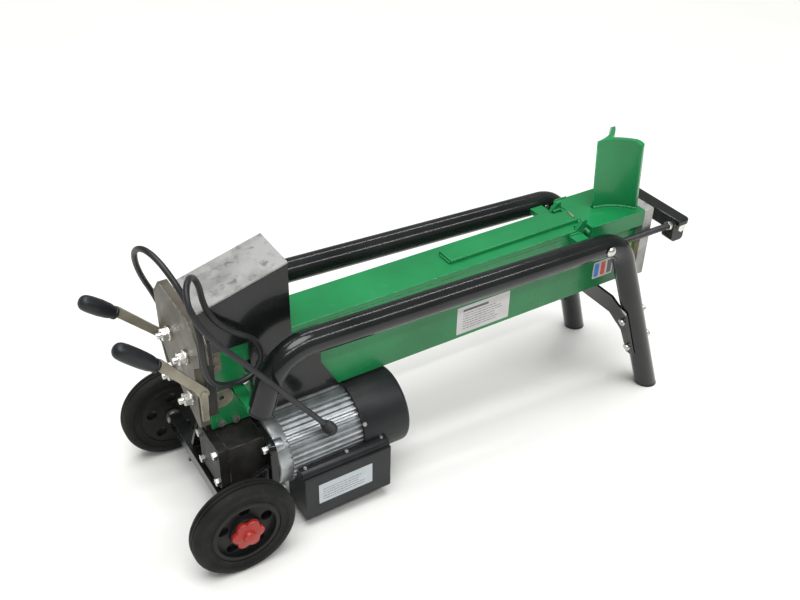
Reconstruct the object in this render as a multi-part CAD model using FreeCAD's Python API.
import math
import os

import FreeCAD
import Part
from FreeCAD import Vector as V

# A small electric horizontal hydraulic log splitter.  Lengths in millimetres, +Z up.
# +X runs from the pump end to the wedge, -Y is the side the motor's box faces.
# Most pieces are drawn in the beam's own frame, which starts at the point of the
# floor under the axle and is tilted up towards the wedge by TILT.

TILT = 2.57              # degrees the beam rises towards the wedge
SHIFT = (-335.15, 0.0)    # floor frame: moves the origin under the middle of the machine

WHEEL_R = 70.0           # tyre
WHEEL_W = 27.0
WHEEL_Y = 127.5          # middle of each wheel from the centre plane
AXLE_R = 7.0

BEAM_X0 = 10.0
BEAM_X1 = 718.0
BEAM_TOP = 274.0         # top of the flange
BEAM_BOTTOM = 155.0
FLANGE_T = 8.0
BEAM_Y = 33.0            # half width of the beam
WEB_T = 5.0

BLADE_TOP = 393.0

STROKE = 295.0
BARREL_Z = 237.0         # axis of the cylinder
BARREL_R = 25.0
BORE_R = 21.0
ROD_R = 14.0
PISTON_X = 87.0 + STROKE          # where the gland of the barrel stops at full stroke
SLOT_X0, SLOT_X1 = 72.0, 105.0 + STROKE
SLOT_Z0, SLOT_Z1 = 225.0, 249.0

CHEEK_Y0, CHEEK_Y1 = 34.0, 38.0
RAM_FRONT = 126.0

TUBE_R = 17.0
TUBE_WALL = 2.0
LEG_BOLT_Z = (95.0, 148.0)         # height of the bolts through each leg

MOTOR_Y, MOTOR_Z = -40.0, 94.0
FRAME_R = 47.5           # root of the cooling ribs
RIB_R = 52.0
COVER_R = 57.0

GEAR_GAP = 32.0          # distance between the pump's gear axes
GEAR_X0, GEAR_X1 = 28.0, 44.0

LEVER_Y = {"near": -56.0, "far": 76.0}
LEVER_PIVOT = {"near": (-3.0, 239.0), "far": (9.0, 238.0)}
LEVER_SHAFT_IN = {"near": -30.0, "far": 18.0}      # y of each shaft's inner end
LEVER_TILT = {"near": 0.0, "far": 5.0}             # degrees that each lever leans out at rest
LEVER_GRIP = {"near": 46.0, "far": 36.0}
LEVER_SHAFT_R = 4.0

CORD_D = 7.5
CORD_R = CORD_D / 2
COIL_MID_R = 41.0
COIL_AT = (-190.0, 178.0)
# The lead's route from its gland on the motor to the coil, in the machine's final frame.
CORD_ROUTE = [
    (-202, -93, 158), (-223, -101, 188), (-256, -105, 230), (-294, -106, 280), (-328, -101, 320),
    (-350, -94, 346), (-362, -88, 367), (-369, -83, 387), (-366, -71, 401), (-357, -55, 405),
    (-346, -41, 397), (-338, -36, 380), (-337, -42, 360), (-331, -49, 341), (-315, -51, 321),
    (-297, -52, 307), (-279, -49, 294), (-270, -52, 277), (-271, -55, 262), (-280, -57, 249),
    (-293, -59, 243), (-309, -61, 243), (-328, -67, 251), (-343, -74, 265), (-352, -79, 285),
    (-356, -82, 308), (-356, -80, 330), (-357, -73, 354), (-362, -60, 378), (-369, -42, 399),
    (-377, -18, 415), (-384, 8, 418), (-388, 32, 405), (-383, 53, 376), (-371, 72, 339),
    (-354, 87, 301), (-340, 97, 260), (-327, 101, 213), (-315, 100, 165), (-300, 99, 118),
    (-288, 101, 74), (-268, 106, 36), (-240, 114, 11), (-206, 123, 5), (-168, 139, 4),
]

NODES = {}


def box(x0, x1, y0, y1, z0, z1):
    return Part.makeBox(x1 - x0, y1 - y0, z1 - z0, V(x0, y0, z0))


def rod_x(x0, x1, y, z, r):
    return Part.makeCylinder(r, x1 - x0, V(x0, y, z), V(1, 0, 0))


def rod_y(x, y0, y1, z, r):
    return Part.makeCylinder(r, y1 - y0, V(x, y0, z), V(0, 1, 0))


def rod_z(x, y, z0, z1, r):
    return Part.makeCylinder(r, z1 - z0, V(x, y, z0), V(0, 0, 1))


def face(points):
    return Part.Face(Part.makePolygon(list(points) + [points[0]]))


def plate_y(points, y0, y1):
    """A plate standing along X: its outline in x, z between two values of y."""
    return face([V(x, y0, z) for x, z in points]).extrude(V(0, y1 - y0, 0))


def plate_x(points, x0, x1):
    """A plate across the machine: its outline in y, z between two values of x."""
    return face([V(x0, y, z) for y, z in points]).extrude(V(x1 - x0, 0, 0))


def hexagon_x(x0, x1, y, z, across):
    r = across / math.sqrt(3)
    turns = [math.radians(60 * i + 30) for i in range(6)]
    return plate_x([(y + r * math.cos(a), z + r * math.sin(a)) for a in turns], x0, x1)


def hexagon_y(x, z, y0, y1, across):
    r = across / math.sqrt(3)
    turns = [math.radians(60 * i + 30) for i in range(6)]
    return plate_y([(x + r * math.cos(a), z + r * math.sin(a)) for a in turns], y0, y1)


def fused(shapes):
    return shapes[0].multiFuse(shapes[1:]).removeSplitter()


def rounded(shape, radius, wanted):
    edges = [e for e in shape.Edges if wanted(e)]
    return shape.makeFillet(radius, edges)


def along(edge, axis):
    """True for a straight edge that runs along one axis."""
    if len(edge.Vertexes) < 2:
        return False
    d = edge.Vertexes[1].Point - edge.Vertexes[0].Point
    return abs(getattr(d, axis)) > 0.999 * d.Length


def to_floor(shape):
    """From the beam's frame to the floor frame of the whole machine."""
    s = shape.copy()
    s.rotate(V(0, 0, 0), V(0, 1, 0), -TILT)
    s.translate(V(SHIFT[0], SHIFT[1], 0))
    return s


def to_beam(shape):
    """From floor coordinates measured from the axle to the beam's frame."""
    s = shape.copy()
    s.rotate(V(0, 0, 0), V(0, 1, 0), TILT)
    return s


def beam_point(x, y, z):
    """A point given in floor coordinates from the axle, in the beam's frame."""
    t = math.radians(TILT)
    return V(x * math.cos(t) + z * math.sin(t), y, -x * math.sin(t) + z * math.cos(t))


def keep(name, *shapes):
    solids = []
    for s in shapes:
        solids += s.Solids
    NODES[name] = [to_floor(s) for s in solids]


def bent_wire(points, radii):
    """Straight runs joined by tangent arcs, as a wire."""
    edges = []
    start = points[0]
    for i in range(1, len(points) - 1):
        a = (points[i - 1] - points[i]).normalize()
        b = (points[i + 1] - points[i]).normalize()
        half = a.getAngle(b) / 2
        reach = radii[i - 1] / math.tan(half)
        p = points[i] + a * reach
        q = points[i] + b * reach
        middle = (a + b).normalize()
        centre = points[i] + middle * (radii[i - 1] / math.sin(half))
        edges.append(Part.LineSegment(start, p).toShape())
        edges.append(Part.Arc(p, centre - middle * radii[i - 1], q).toShape())
        start = q
    edges.append(Part.LineSegment(start, points[-1]).toShape())
    return Part.Wire(edges)


def swept(wire, radius):
    edge = wire.Edges[0]
    first = edge.valueAt(edge.FirstParameter)
    away = edge.tangentAt(edge.FirstParameter)
    circle = Part.Wire(Part.makeCircle(radius, first, away))
    return wire.makePipeShell([circle], True, False)


# ---------------------------------------------------------------- beam and wedge

def lever_bore(name):
    """The hole that a lever's shaft turns in, a little deeper and wider than the shaft."""
    px, pz = LEVER_PIVOT[name]
    inner = LEVER_SHAFT_IN[name]
    side = -1 if inner < 0 else 1
    return rod_y(px, *sorted((inner - side * 0.1, side * 74)), pz, LEVER_SHAFT_R + 0.03)


def beam():
    slot_r = (SLOT_Z1 - SLOT_Z0) / 2
    slot = fused([
        box(SLOT_X0, SLOT_X1, -40, 40, SLOT_Z0, SLOT_Z1),
        rod_y(SLOT_X0, -40, 40, BARREL_Z, slot_r),
        rod_y(SLOT_X1, -40, 40, BARREL_Z, slot_r),
    ])
    webs = []
    for side in (-1, 1):
        y0, y1 = sorted((side * BEAM_Y, side * (BEAM_Y - WEB_T)))
        web = box(BEAM_X0, BEAM_X1, y0, y1, BEAM_BOTTOM, BEAM_TOP - FLANGE_T)
        webs.append(web.cut(slot).cut(lever_bore("far")))
    keep("beam_side_plates", *webs)
    keep("beam_top_plate", box(3, BEAM_X1, -BEAM_Y, BEAM_Y, BEAM_TOP - FLANGE_T, BEAM_TOP))
    strip = box(384, 614, -15, 15, BEAM_TOP, BEAM_TOP + 6)
    strip = rounded(strip, 2.0, lambda e: along(e, "x") and e.CenterOfMass.z > BEAM_TOP + 5)
    keep("beam_wear_strip", strip)
    keep("beam_end_plate", rounded(box(BEAM_X1, 736, -46, 46, 160, 279), 2.0, lambda e: along(e, "x")))


def wedge():
    saddle = box(614, BEAM_X1, -46, 46, 254, 280).cut(box(600, 730, -BEAM_Y, BEAM_Y, 240, BEAM_TOP))
    tabs = []
    for side in (-1, 1):
        y0, y1 = sorted((side * 27, side * 33))
        tabs.append(plate_y([(594, BEAM_TOP), (614, BEAM_TOP), (614, 288), (606, 288)], y0, y1))
    keep("wedge_base", fused([saddle] + tabs))
    keep("wedge_blade", blade())


def blade():
    """Two curved wings that meet in a sharp edge leaning a little towards the pump."""
    outer = [(651, 0), (667, -3), (683, -10), (697, -22), (707, -36)]
    inner = [(713, -33), (703, -19), (690, -7), (679, 0)]
    rise = V(-8, 0, BLADE_TOP - 280)
    wings = []
    for side in (1, -1):
        a = Part.BSplineCurve()
        a.interpolate([V(x, side * y, 280) for x, y in outer])
        b = Part.BSplineCurve()
        b.interpolate([V(x, side * y, 280) for x, y in inner])
        end = Part.LineSegment(V(707, -36 * side, 280), V(713, -33 * side, 280)).toShape()
        close = Part.LineSegment(V(679, 0, 280), V(651, 0, 280)).toShape()
        wings.append(Part.Face(Part.Wire([a.toShape(), end, b.toShape(), close])).extrude(rise))
    window = box(600, 740, -36, 36, 270, BLADE_TOP)
    window = rounded(window, 14.0, lambda e: along(e, "x") and e.CenterOfMass.z > BLADE_TOP - 3)
    return fused(wings).common(window)


# ---------------------------------------------------------------- cradle tubes and legs

def leg_point(z, side):
    return beam_point(743.3 - 0.38 * z, side * (92.0 - 0.0632 * z), z)


def cradle_wire(side):
    points = [
        beam_point(50.4, side * 79.5, 205),
        beam_point(74, side * 79.3, 286.3),
        leg_point(292, side),
        leg_point(-30, side),
    ]
    return bent_wire(points, [62.0, 52.0])


def cradle():
    floor = to_beam(box(600, 900, -200, 200, -80, 5))
    for side, name in ((-1, "near"), (1, "far")):
        wire = cradle_wire(side)
        outside = swept(wire, TUBE_R)
        inside = swept(wire, TUBE_R - TUBE_WALL)
        tube = outside.cut(inside).cut(floor)
        for hole in leg_holes(side) + [dome_hole(side)]:
            tube = tube.cut(hole)
        keep("cradle_tube_" + name, tube)
    keep("tube_plugs", foot_plug(-1), foot_plug(1), end_plug(-1), end_plug(1))


def foot_plug(side):
    wire = Part.Wire([Part.LineSegment(leg_point(40, side), leg_point(-30, side)).toShape()])
    pad = swept(wire, TUBE_R).common(to_beam(box(600, 900, -200, 200, 0, 5)))
    spigot = swept(wire, TUBE_R - TUBE_WALL).common(to_beam(box(600, 900, -200, 200, 4, 22)))
    return fused([pad, spigot])


def end_plug(side):
    edge = cradle_wire(side).Edges[0]
    start = edge.valueAt(edge.FirstParameter)
    away = edge.tangentAt(edge.FirstParameter)
    head = Part.makeCylinder(TUBE_R, 4, start - away * 4, away)
    return fused([head, Part.makeCylinder(TUBE_R - TUBE_WALL, 14, start, away)])


def outside_tube(side):
    return swept(cradle_wire(side), TUBE_R)


def tube_lugs():
    """Flat lugs that join each cradle tube to the beam, at its lower end and at its bend."""
    lugs = []
    for side in (-1, 1):
        y0, y1 = sorted((side * BEAM_Y, side * 80))
        for x0, x1, z0, z1 in ((42, 57, 205, 213), (580, 602, 262, 270)):
            lug = box(x0, x1, y0, y1, z0, z1).cut(outside_tube(side)).cut(end_plug(side)).Solids
            lugs.append(min(lug, key=lambda s: abs(s.CenterOfMass.y)))
    keep("tube_lugs", *lugs)


def leg_frame():
    """The direction up both legs, and the direction square to the plane they stand in."""
    up = (leg_point(200, -1) + leg_point(200, 1) - leg_point(0, -1) - leg_point(0, 1)).normalize()
    return up, up.cross(V(0, 1, 0)).normalize()


def leg_holes(side):
    up, out = leg_frame()
    holes = []
    for z in LEG_BOLT_Z:
        holes.append(Part.makeCylinder(3.0, 60, leg_point(z, side) - out * 30, out))
    return holes


def dome_hole(side):
    return rod_y(612, min(0, side * 120), max(0, side * 120), 264.2, 4.0)


def cross_plate():
    up, out = leg_frame()
    back = out if out.x < 0 else out * -1
    outline = [(-95, 84), (-79, 84), (-73, 132), (-50, 156), (50, 156), (73, 132), (79, 84), (95, 84),
               (91, 176), (62, 200), (-62, 200), (-91, 176)]
    foot = (leg_point(0, -1) + leg_point(0, 1)) * 0.5
    plate = face([foot + V(0, y, 0) + up * s + back * TUBE_R for y, s in outline]).extrude(back * 4)
    bolts = []
    for side in (-1, 1):
        for z in LEG_BOLT_Z:
            p = leg_point(z, side)
            hole = Part.makeCylinder(3.0, 90, p - back * 45, back)
            plate = plate.cut(hole)
            head = Part.makeCylinder(6.0, 4.5, p + back * (TUBE_R + 4), back)
            shank = Part.makeCylinder(3.0, 2 * TUBE_R + 4, p - back * TUBE_R, back)
            nut = Part.makeCylinder(5.5, 5.0, p - back * (TUBE_R + 5), back)
            bolts.append(fused([head, shank, nut]))
    keep("leg_cross_plate", plate)
    keep("frame_bolts", *(bolts + dome_bolts()))


def dome_bolts():
    bolts = []
    for side in (-1, 1):
        ball = Part.makeSphere(9.0, V(612, side * 88.0, 264.2))
        cap = ball.common(box(590, 640, *sorted((side * 92.6, side * 110)), 240, 290))
        shank = rod_y(612, *sorted((side * 56.5, side * 93.0)), 264.2, 4.0)
        bolts.append(fused([cap, shank]))
    return bolts


# ---------------------------------------------------------------- handle

def handle():
    """A lifting bar held off the beam's end plate by two threaded rods."""
    grip = box(773, 797, -69, 69, 246, 254)
    grip = rounded(grip, 8.0, lambda e: along(e, "z") and e.CenterOfMass.x > 790)
    grip = rounded(grip, 2.5, lambda e: e.CenterOfMass.z > 253.9)
    parts = [grip, box(773, 797, -60, 60, 232, 246)]
    rods = []
    fixings = []
    for side in (-1, 1):
        ear = box(773, 797, *sorted((side * 38, side * 60)), 213, 240)
        parts.append(rounded(ear, 6.0, lambda e: along(e, "y") and e.CenterOfMass.z < 220))
        y = side * 51.5
        rods.append(rod_x(592, 790, y, 240, 5.0))
        for x0, x1 in ((594, 600), (767, 773)):
            fixings.append(hexagon_x(x0, x1, y, 240, 13).cut(rod_x(560, 790, y, 240, 5.0)))
        fixings.append(hexagon_y(786, 238, *sorted((side * 60, side * 65)), 13))
    bar = fused(parts)
    for rod in rods:
        bar = bar.cut(rod)
    keep("handle_grip", bar)
    keep("handle_rods", *rods)
    keep("handle_fixings", *fixings)


# ---------------------------------------------------------------- wheels and axle

def wheel(side):
    y0 = side * WHEEL_Y - WHEEL_W / 2
    y1 = side * WHEEL_Y + WHEEL_W / 2
    outer = side * (WHEEL_Y + WHEEL_W / 2)
    tyre = rod_y(0, y0, y1, WHEEL_R, WHEEL_R)
    tyre = rounded(tyre, 9.0, lambda e: abs(e.Length - 2 * math.pi * WHEEL_R) < 1)
    for face_y in (y0, y1):
        step = rod_y(0, face_y - 2, face_y + 2, WHEEL_R, 57)
        tyre = tyre.cut(step.cut(rod_y(0, face_y - 3, face_y + 3, WHEEL_R, 48)))
    tyre = tyre.cut(rod_y(0, y0 - 5, y1 + 5, WHEEL_R, 46))
    hub = rod_y(0, y0 + 1, y1 - 1, WHEEL_R, 46)
    dish = rod_y(0, outer - 8, outer + 8, WHEEL_R, 40).cut(rod_y(0, outer - 9, outer + 9, WHEEL_R, 22))
    hub = hub.cut(dish)
    for i in range(5):
        a = math.radians(72 * i + 18)
        window = rod_y(31 * math.cos(a), y0 - 5, y1 + 5, WHEEL_R + 31 * math.sin(a), 7.5)
        hub = hub.cut(window)
    hub = hub.cut(rod_y(0, y0 - 5, y1 + 5, WHEEL_R, AXLE_R + 0.05))
    return tyre, hub


def hub_cap(side):
    """A six-lobed knob with a raised round middle, over the axle's end."""
    outer = side * (WHEEL_Y + WHEEL_W / 2)
    y0, y1 = sorted((outer - side * 1.0, outer + side * 5.0))
    cap = rod_y(0, y0, y1, WHEEL_R, 17)
    lobes = []
    for i in range(6):
        a = math.radians(60 * i)
        lobes.append(rod_y(17.5 * math.cos(a), y0, y1, WHEEL_R + 17.5 * math.sin(a), 4.5))
    y2, y3 = sorted((outer + side * 5.0, outer + side * 11.0))
    boss = rod_y(0, y2, y3, WHEEL_R, 9)
    inside = rod_y(0, *sorted((outer - side * 2.0, outer + side * 5.5)), WHEEL_R, AXLE_R + 0.3)
    return fused([cap, boss] + lobes).cut(inside)


def axle_tube():
    return to_beam(box(-9, 9, -106, 106, WHEEL_R - 9, WHEEL_R + 9))


def wheels():
    for side, name in ((-1, "near"), (1, "far")):
        tyre, hub = wheel(side)
        keep("tyre_" + name, to_beam(tyre))
        keep("hub_" + name, to_beam(hub))
        keep("hub_cap_" + name, to_beam(hub_cap(side)))
    spacers = []
    for side in (-1, 1):
        y0, y1 = sorted((side * 106, side * 113.5))
        ring = rod_y(0, y0, y1, WHEEL_R, 11).cut(rod_y(0, y0 - 1, y1 + 1, WHEEL_R, AXLE_R))
        spacers.append(to_beam(ring))
    keep("axle", to_beam(rod_y(0, -143, 143, WHEEL_R, AXLE_R)), *spacers)
    far = plate_y([(-8, 56), (16, 56), (50, 120), (50, BEAM_BOTTOM), (20, BEAM_BOTTOM)], 28, 33)
    near = plate_y([(-8, 56), (16, 56), (62, 74), (62, 108), (-2, 84)], -86, -80)
    tube = axle_tube().cut(to_beam(rod_y(0, -160, 160, WHEEL_R, AXLE_R)))
    keep("axle_carrier", tube, far.cut(axle_tube()), near.cut(axle_tube()))


# ---------------------------------------------------------------- pump end

VALVE_OUTLINE = [(-50, 344), (-72, 322), (-72, 292), (-50, 276), (-50, 181), (-40, 176),
                 (16, 206), (48, 223), (71, 245), (71, 318), (48, 344)]


def pump_end():
    plate = plate_x(VALVE_OUTLINE, -9, 3)
    inner_y = BEAM_Y - WEB_T
    block = fused([box(3, 20, -inner_y, inner_y, 152, 266), box(3, BEAM_X0, -37, 37, 200, 266)])
    block = block.cut(rod_x(2, 21, 0, BARREL_Z, ROD_R))
    studs = []
    for y, z in ((-28, 215), (28, 215), (-28, 279), (28, 279)):
        deep = 9.5 if z < 260 else 9
        shank = rod_x(-26, deep, y, z, 4.0)
        plate = plate.cut(shank)
        block = block.cut(shank)
        nut = hexagon_x(-20, -12, y, z, 15)
        washer = rod_x(-12, -9, y, z, 9.5)
        parts = [shank, nut, washer]
        if z > 260:
            parts.append(hexagon_x(3, 9, y, z, 8.6))
        studs.append(fused(parts))
    block = block.cut(lever_bore("far"))
    plate = rounded(plate, 3.0, lambda e: along(e, "x") and e.Length > 11.9 and abs(e.CenterOfMass.y) > 45)
    keep("valve_plate", plate.cut(lever_bore("near")))
    heads = [hexagon_y(x, z, -38, -BEAM_Y, 10) for x, z in ((58, 220), (22, 164), (42, 162))]
    keep("valve_studs", *studs, *heads)
    frames = []
    for name, y in LEVER_Y.items():
        side = -1 if y < 0 else 1
        y0, y1 = sorted((y - side * 3.0, y - side * 9.0))
        frames.append(box(3, 15, y0, y1, 196 if side < 0 else 226, 308).cut(lever_bore(name)))
    keep("valve_block", block, *frames)
    strap = box(17, 30, -36, -BEAM_Y, 246, 277)
    strap = rounded(strap, 5.0, lambda e: along(e, "y"))
    disc = rod_y(26, -37, -BEAM_Y, 205, 15).cut(rod_y(26, -40, -30, 205, 3.5))
    disc = disc.cut(box(10, 50, -40, -30, 216, 222))
    screws = []
    for z in (255, 269):
        screws.append(rod_y(23.5, -38.5, -36, z, 3.5))
    keep("side_fittings", strap, disc, *screws)


def lever_flat(y):
    """The flat bar of a lever, in the plane y."""
    outline = [(-10, 243), (-9, 236), (3, 236), (3, 244), (0, 248), (-47, 309), (-53, 312), (-58, 302)]
    return plate_y(outline, y - 2.0, y + 2.0)


def lever(name):
    y = LEVER_Y[name]
    side = -1 if y < 0 else 1
    px, pz = LEVER_PIVOT[name]
    flat = lever_flat(y)
    if name == "far":
        root = [(-6, 235), (px + 2, 232), (px + 2, 247), (-6, 250)]
        flat = fused([flat, plate_y(root, y - 2.0, y + 2.0)])
    drop = plate_y([(-8, 240), (2, 240), (0, 197), (-8, 197)], y - 2.0, y + 2.0)
    eye = rod_y(px, y - 2.0, y + 2.0, pz, 7)
    start = V(-57, y, 306)
    away = V(-0.71, 0, 0.70).normalize()
    tang = Part.makeCylinder(4.0, 26, start - away * 6, away)
    length = LEVER_GRIP[name]
    grip = fused([
        Part.makeCylinder(11.0, length, start, away),
        Part.makeSphere(11.0, start + away * length),
        Part.makeCone(8.0, 11.0, 6, start - away * 6, away),
    ])
    grip = grip.cut(tang).cut(flat)
    shaft = rod_y(px, *sorted((LEVER_SHAFT_IN[name], y + side * 4.0)), pz, LEVER_SHAFT_R)
    arm = fused([flat, drop, eye, tang, shaft])
    for shape in (arm, grip):
        shape.rotate(V(px, 0, pz), V(0, -1, 0), LEVER_TILT[name])
    keep("lever_arm_" + name, arm)
    keep("lever_grip_" + name, grip)


def gear(y, z, phase, hole_r):
    teeth = 12
    points = []
    for i in range(teeth):
        mid = phase + 2 * math.pi * i / teeth
        for r, half in ((14.0, 2.2), (17.2, 0.9)):
            points.append((mid - half / r, r))
        for r, half in ((17.2, 0.9), (14.0, 2.2)):
            points.append((mid + half / r, r))
    outline = [(y + r * math.cos(a), z + r * math.sin(a)) for a, r in points]
    return plate_x(outline, GEAR_X0, GEAR_X1).cut(rod_x(0, 80, y, z, hole_r))


def pump():
    y, z = MOTOR_Y, MOTOR_Z
    body = box(13, 62, y - 34, y + 34, 64, 152)
    body = rounded(body, 8.0, lambda e: along(e, "x") and e.CenterOfMass.z < 80)
    for dz in (0.0, GEAR_GAP):
        body = body.cut(rod_x(GEAR_X0 - 0.1, GEAR_X1 + 0.1, y, z + dz, 17.4))
    body = body.cut(rod_x(GEAR_X0 - 8, 70, y, z, 8.04))
    body = body.cut(rod_x(GEAR_X0 - 8, GEAR_X1 + 8, y, z + GEAR_GAP, 6.04))
    keep("pump_body", body)
    cover = box(0, 13, y - 33, y + 33, 86, 152)
    keep("pump_cover", rounded(cover, 8.0, lambda e: along(e, "x") and e.CenterOfMass.z < 100))
    bolts = []
    for dy in (-25, 25):
        for bz in (96, 142):
            bolts.append(hexagon_x(-5, 0, y + dy, bz, 10))
    keep("pump_gear_drive", gear(y, z, math.pi / 12, 8.0))
    driven = gear(y, z + GEAR_GAP, 0.0, 6.0)
    keep("pump_gear_driven", fused([driven, rod_x(GEAR_X0 - 7.5, GEAR_X1 + 7.5, y, z + GEAR_GAP, 6.0)]))
    return bolts


def motor(bolts):
    y, z = MOTOR_Y, MOTOR_Z
    plate = rounded(box(62, 72, y - 52, y + 52, 42, 146), 14.0, lambda e: along(e, "x"))
    plate = plate.cut(rod_x(60, 74, y, z, 8.04))
    for dy in (-40, 40):
        for dz in (-40, 40):
            hole = rod_x(50, 84, y + dy, z + dz, 3.0)
            plate = plate.cut(hole)
            bolts.append(fused([hexagon_x(56, 62, y + dy, z + dz, 9), rod_x(60, 84, y + dy, z + dz, 3.0)]))
    keep("motor_adapter_plate", plate)
    bell = rod_x(72, 94, y, z, 50)
    bell = rounded(bell, 6.0, lambda e: abs(e.CenterOfMass.x - 72) < 0.1 and e.Length > 300)
    ears = []
    for dy in (-40, 40):
        for dz in (-40, 40):
            ears.append(rod_x(72, 84, y + dy, z + dz, 9))
    bell = fused([bell] + ears)
    bell = bell.cut(rod_x(86, 95, y, z, 42))
    bell = bell.cut(rod_x(76, 87, y, z, 16))
    bell = bell.cut(rod_x(70, 80, y, z, 8.6))
    for dy in (-40, 40):
        for dz in (-40, 40):
            bell = bell.cut(rod_x(70, 84, y + dy, z + dz, 3.0))
    keep("motor_front_bell", bell)
    keep("motor_frame", ribbed_frame())
    keep("motor_stator", rod_x(108, 188, y, z, 44).cut(rod_x(100, 200, y, z, 27.5)))
    rotor = rod_x(110, 186, y, z, 27.0).cut(rod_x(100, 200, y, z, 8.0))
    keep("motor_rotor", rotor, rod_x(GEAR_X0 - 7.5, 246, y, z, 8.0))
    bearings = []
    for x0, x1 in ((76, 86), (196, 205)):
        bearings.append(rod_x(x0, x1, y, z, 16).cut(rod_x(x0 - 1, x1 + 1, y, z, 8.04)))
    keep("motor_bearings", *bearings)
    keep("motor_bolts", *(bolts + fan_parts() + box_screws()))


def ribbed_frame():
    y, z = MOTOR_Y, MOTOR_Z
    ribs = 40
    outline = []
    for i in range(ribs):
        a = 2 * math.pi * i / ribs
        step = 2 * math.pi / ribs
        for r, t in ((FRAME_R, -0.34), (RIB_R, -0.16), (RIB_R, 0.16), (FRAME_R, 0.34)):
            outline.append((y + r * math.cos(a + t * step), z + r * math.sin(a + t * step)))
    frame = plate_x(outline, 94, 205)
    frame = frame.cut(rod_x(93, 196, y, z, 44))
    frame = frame.cut(rod_x(195, 206, y, z, 16))
    return frame


def motor_envelope(extra):
    y, z = MOTOR_Y, MOTOR_Z
    return fused([rod_x(90, 199, y, z, RIB_R + extra), rod_x(199, 240, y, z, COVER_R + extra)])


def fan_parts():
    y, z = MOTOR_Y, MOTOR_Z
    cover = rod_x(199, 272, y, z, COVER_R)
    cover = rounded(cover, 6.0, lambda e: abs(e.CenterOfMass.x - 272) < 0.1 and e.Length > 300)
    cover = cover.cut(rod_x(198, 270, y, z, COVER_R - 1.8))
    for ring, count in ((18, 6), (32, 10), (46, 16)):
        for i in range(count):
            a = 2 * math.pi * i / count
            cover = cover.cut(rod_x(268, 274, y + ring * math.cos(a), z + ring * math.sin(a), 4.0))
    lip = rod_x(199, 203, y, z, COVER_R).cut(rod_x(198, 204, y, z, RIB_R))
    cover = fused([cover, lip])
    keep("fan_cover", cover)
    hub = rod_x(216, 240, y, z, 14)
    disc = rod_x(216, 219, y, z, 42)
    blades = []
    for i in range(8):
        one = box(219, 238, y + 12, y + 42, z - 1, z + 1)
        one.rotate(V(0, y, z), V(1, 0, 0), 45 * i)
        blades.append(one)
    keep("fan", fused([hub, disc] + blades).cut(rod_x(200, 260, y, z, 8.0)))
    screws = []
    for turn in (62, 152, 332):
        a = math.radians(turn)
        p = V(201, y + (COVER_R + 2.0) * math.cos(a), z + (COVER_R + 2.0) * math.sin(a))
        screws.append(Part.makeCylinder(3.0, 1.85, p, V(0, -math.cos(a), -math.sin(a))))
    return screws


def terminal_box():
    body = box(98, 230, -109, -62, 12, 84)
    ridge = rod_x(98, 230, -99, 84, 10.0).common(box(90, 240, -120, -80, 84, 93.5))
    hollow = box(101, 227, -110, -64.5, 15, 81).cut(motor_envelope(2.5))
    shell = fused([body, ridge]).cut(hollow).cut(motor_envelope(0.0))
    keep("terminal_box", max(shell.Solids, key=lambda s: s.Volume))
    lid = rounded(box(98, 230, -113, -109, 12, 84), 1.5, lambda e: e.CenterOfMass.y < -112.9)
    keep("terminal_box_lid", lid)
    keep("capacitor", rod_x(120, 205, -100, 46, 8.5))


def box_screws():
    """Pan heads on the flat filed along the top of the box's ridge."""
    return [rod_z(x, -99.5, 93.5, 95.5, 2.4) for x in (106, 168, 222)]


# ---------------------------------------------------------------- ram

def cylinder():
    end = PISTON_X + 16
    rod = rod_x(3, end - 8, 0, BARREL_Z, ROD_R).cut(rod_x(2, end, 0, BARREL_Z, 4.0))
    piston = rod_x(PISTON_X, end, 0, BARREL_Z, BORE_R - 0.05)
    piston = piston.cut(rod_x(PISTON_X - 1, end - 8, 0, BARREL_Z, ROD_R))
    piston = piston.cut(rod_x(PISTON_X - 1, end + 1, 0, BARREL_Z, 4.0))
    barrel = rod_x(66, end + 11, 0, BARREL_Z, BARREL_R).cut(rod_x(65, end + 1, 0, BARREL_Z, BORE_R))
    gland = rod_x(66, 86, 0, BARREL_Z, BORE_R).cut(rod_x(65, 87, 0, BARREL_Z, ROD_R + 0.05))
    keep("cylinder_rod", rod, piston)
    keep("cylinder_barrel", barrel, gland)


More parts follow.
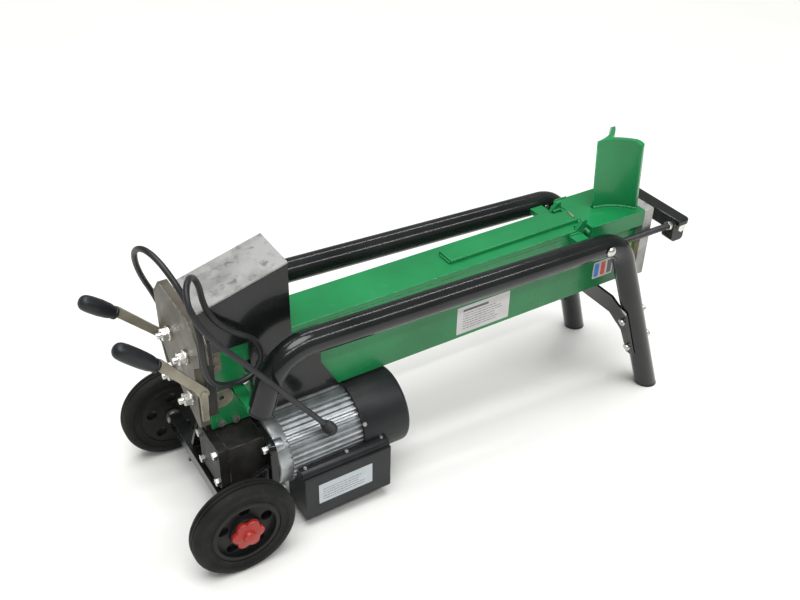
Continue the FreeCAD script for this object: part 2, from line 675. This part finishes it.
def pusher():
    collar = box(70, 110, -27.5, 27.5, 211, 262.5).cut(rod_x(69, 111, 0, BARREL_Z, BARREL_R))
    arms = box(72, 108, -CHEEK_Y0, CHEEK_Y0, 226, 248).cut(box(71, 109, -27.5, 27.5, 220, 255))
    yoke = fused([collar, arms])
    outline = [(6, 341), (126, 374), (126, 262), (166, 262), (166, 206), (192, 158), (68, 158),
               (68, 278), (6, 278)]
    cheeks = []
    bolts = []
    for side in (-1, 1):
        y0, y1 = sorted((side * CHEEK_Y0, side * CHEEK_Y1))
        cheek = plate_y(outline, y0, y1)
        for x in (82, 98):
            hole = rod_y(x, *sorted((side * 30, side * 40)), BARREL_Z, 3.0)
            cheek = cheek.cut(hole)
            yoke = yoke.cut(hole)
            head = rod_y(x, *sorted((side * CHEEK_Y1, side * 42)), BARREL_Z, 6.0)
            bolts.append(fused([head, rod_y(x, *sorted((side * 30, side * 39)), BARREL_Z, 3.0)]))
        cheeks.append(cheek)
    keep("pusher_yoke", yoke)
    keep("pusher_cheeks", *cheeks)
    keep("pusher_bolts", *bolts)
    front = box(114, RAM_FRONT, -CHEEK_Y0, CHEEK_Y0, 281, 370.5)
    keep("pusher_front_plate", fused([front, box(68, 114, -CHEEK_Y0, CHEEK_Y0, 281, 287)]))
    keep("pusher_top_cover", plate_y([(6, 341), (126, 374), (126, 377.1), (6, 344.1)], -CHEEK_Y1, CHEEK_Y1))
    pads = []
    for side in (-1, 1):
        y0, y1 = sorted((side * 18, side * 32))
        pads.append(box(70, 126, y0, y1, BEAM_TOP + 0.05, 281))
    keep("pusher_slide_pads", *pads)


def labels():
    info = box(387, 480, -BEAM_Y - 0.4, -BEAM_Y, 161, 208)
    rating = box(118, 200, -113.5, -113, 34, 68)
    keep("labels", info, rating)


# ---------------------------------------------------------------- mains lead

def cord_wire():
    points = [V(x, y, z) for x, y, z in CORD_ROUTE]
    radii = []
    for before, at, after in zip(points, points[1:], points[2:]):
        a = (before - at).normalize()
        b = (after - at).normalize()
        shorter = min(at.distanceToPoint(before), at.distanceToPoint(after))
        radii.append(0.45 * shorter * math.tan(a.getAngle(b) / 2))
    print("cord radii", [round(r) for r in radii])
    return bent_wire(points, radii)


def cord():
    wire = cord_wire()
    tube = swept(wire, CORD_R)
    length = wire.Length
    full = math.pi * CORD_R ** 2 * length
    print("cord run", round(length), "volume ratio", round(tube.Volume / full, 4))
    cx, cy = COIL_AT
    ring = rod_z(cx, cy, 0.2, 2 * CORD_D + 0.2, COIL_MID_R + CORD_D)
    ring = ring.cut(rod_z(cx, cy, -1, 30, COIL_MID_R - CORD_D)).cut(tube)
    NODES["cord"] = [tube]
    NODES["cord_coil"] = [ring]
    exit_at = V(*CORD_ROUTE[0])
    away = (V(*CORD_ROUTE[1]) - exit_at).normalize()
    cone = Part.makeCone(9.0, 5.0, 26, exit_at - away * 24, away)
    gland = cone.cut(swept(wire, CORD_R)).cut(to_floor(motor_envelope(0.0)))
    NODES["cable_gland"] = [max(gland.Solids, key=lambda s: s.Volume)]
    NODES["mains_plug"] = plug(ring)


def plug(ring):
    """A two-pin plug lying beside the coil, its tail meeting the last turn."""
    cx = COIL_AT[0]
    cy = COIL_AT[1] - COIL_MID_R - CORD_R
    x0 = cx + 22
    tail = Part.makeCone(CORD_R + 0.5, 8.0, 24, V(x0, cy, 16.2), V(1, 0, 0))
    body = Part.makeCylinder(16.0, 34, V(x0 + 24, cy, 16.2), V(1, 0, 0))
    body = body.common(box(x0 + 20, x0 + 70, cy - 16, cy + 16, 0.2, 32.2))
    pins = []
    for dy in (-9.5, 9.5):
        pins.append(Part.makeCylinder(2.4, 21, V(x0 + 56, cy + dy, 16.2), V(1, 0, 0)))
    return fused([tail, body] + pins).cut(ring).Solids


def main():
    beam()
    wedge()
    cradle()
    tube_lugs()
    cross_plate()
    handle()
    wheels()
    pump_end()
    for name in LEVER_Y:
        lever(name)
    motor(pump())
    terminal_box()
    cylinder()
    pusher()
    labels()
    cord()
    os.makedirs("parts", exist_ok=True)
    for name, solids in NODES.items():
        shape = solids[0] if len(solids) == 1 else Part.makeCompound(solids)
        shape.exportStep("parts/" + name + ".step")
        b = shape.optimalBoundingBox(False)
        print(name, len(solids), [round(v, 2) for v in (b.XMin, b.XMax, b.YMin, b.YMax, b.ZMin, b.ZMax)])
    print(len(NODES), "nodes")


main()
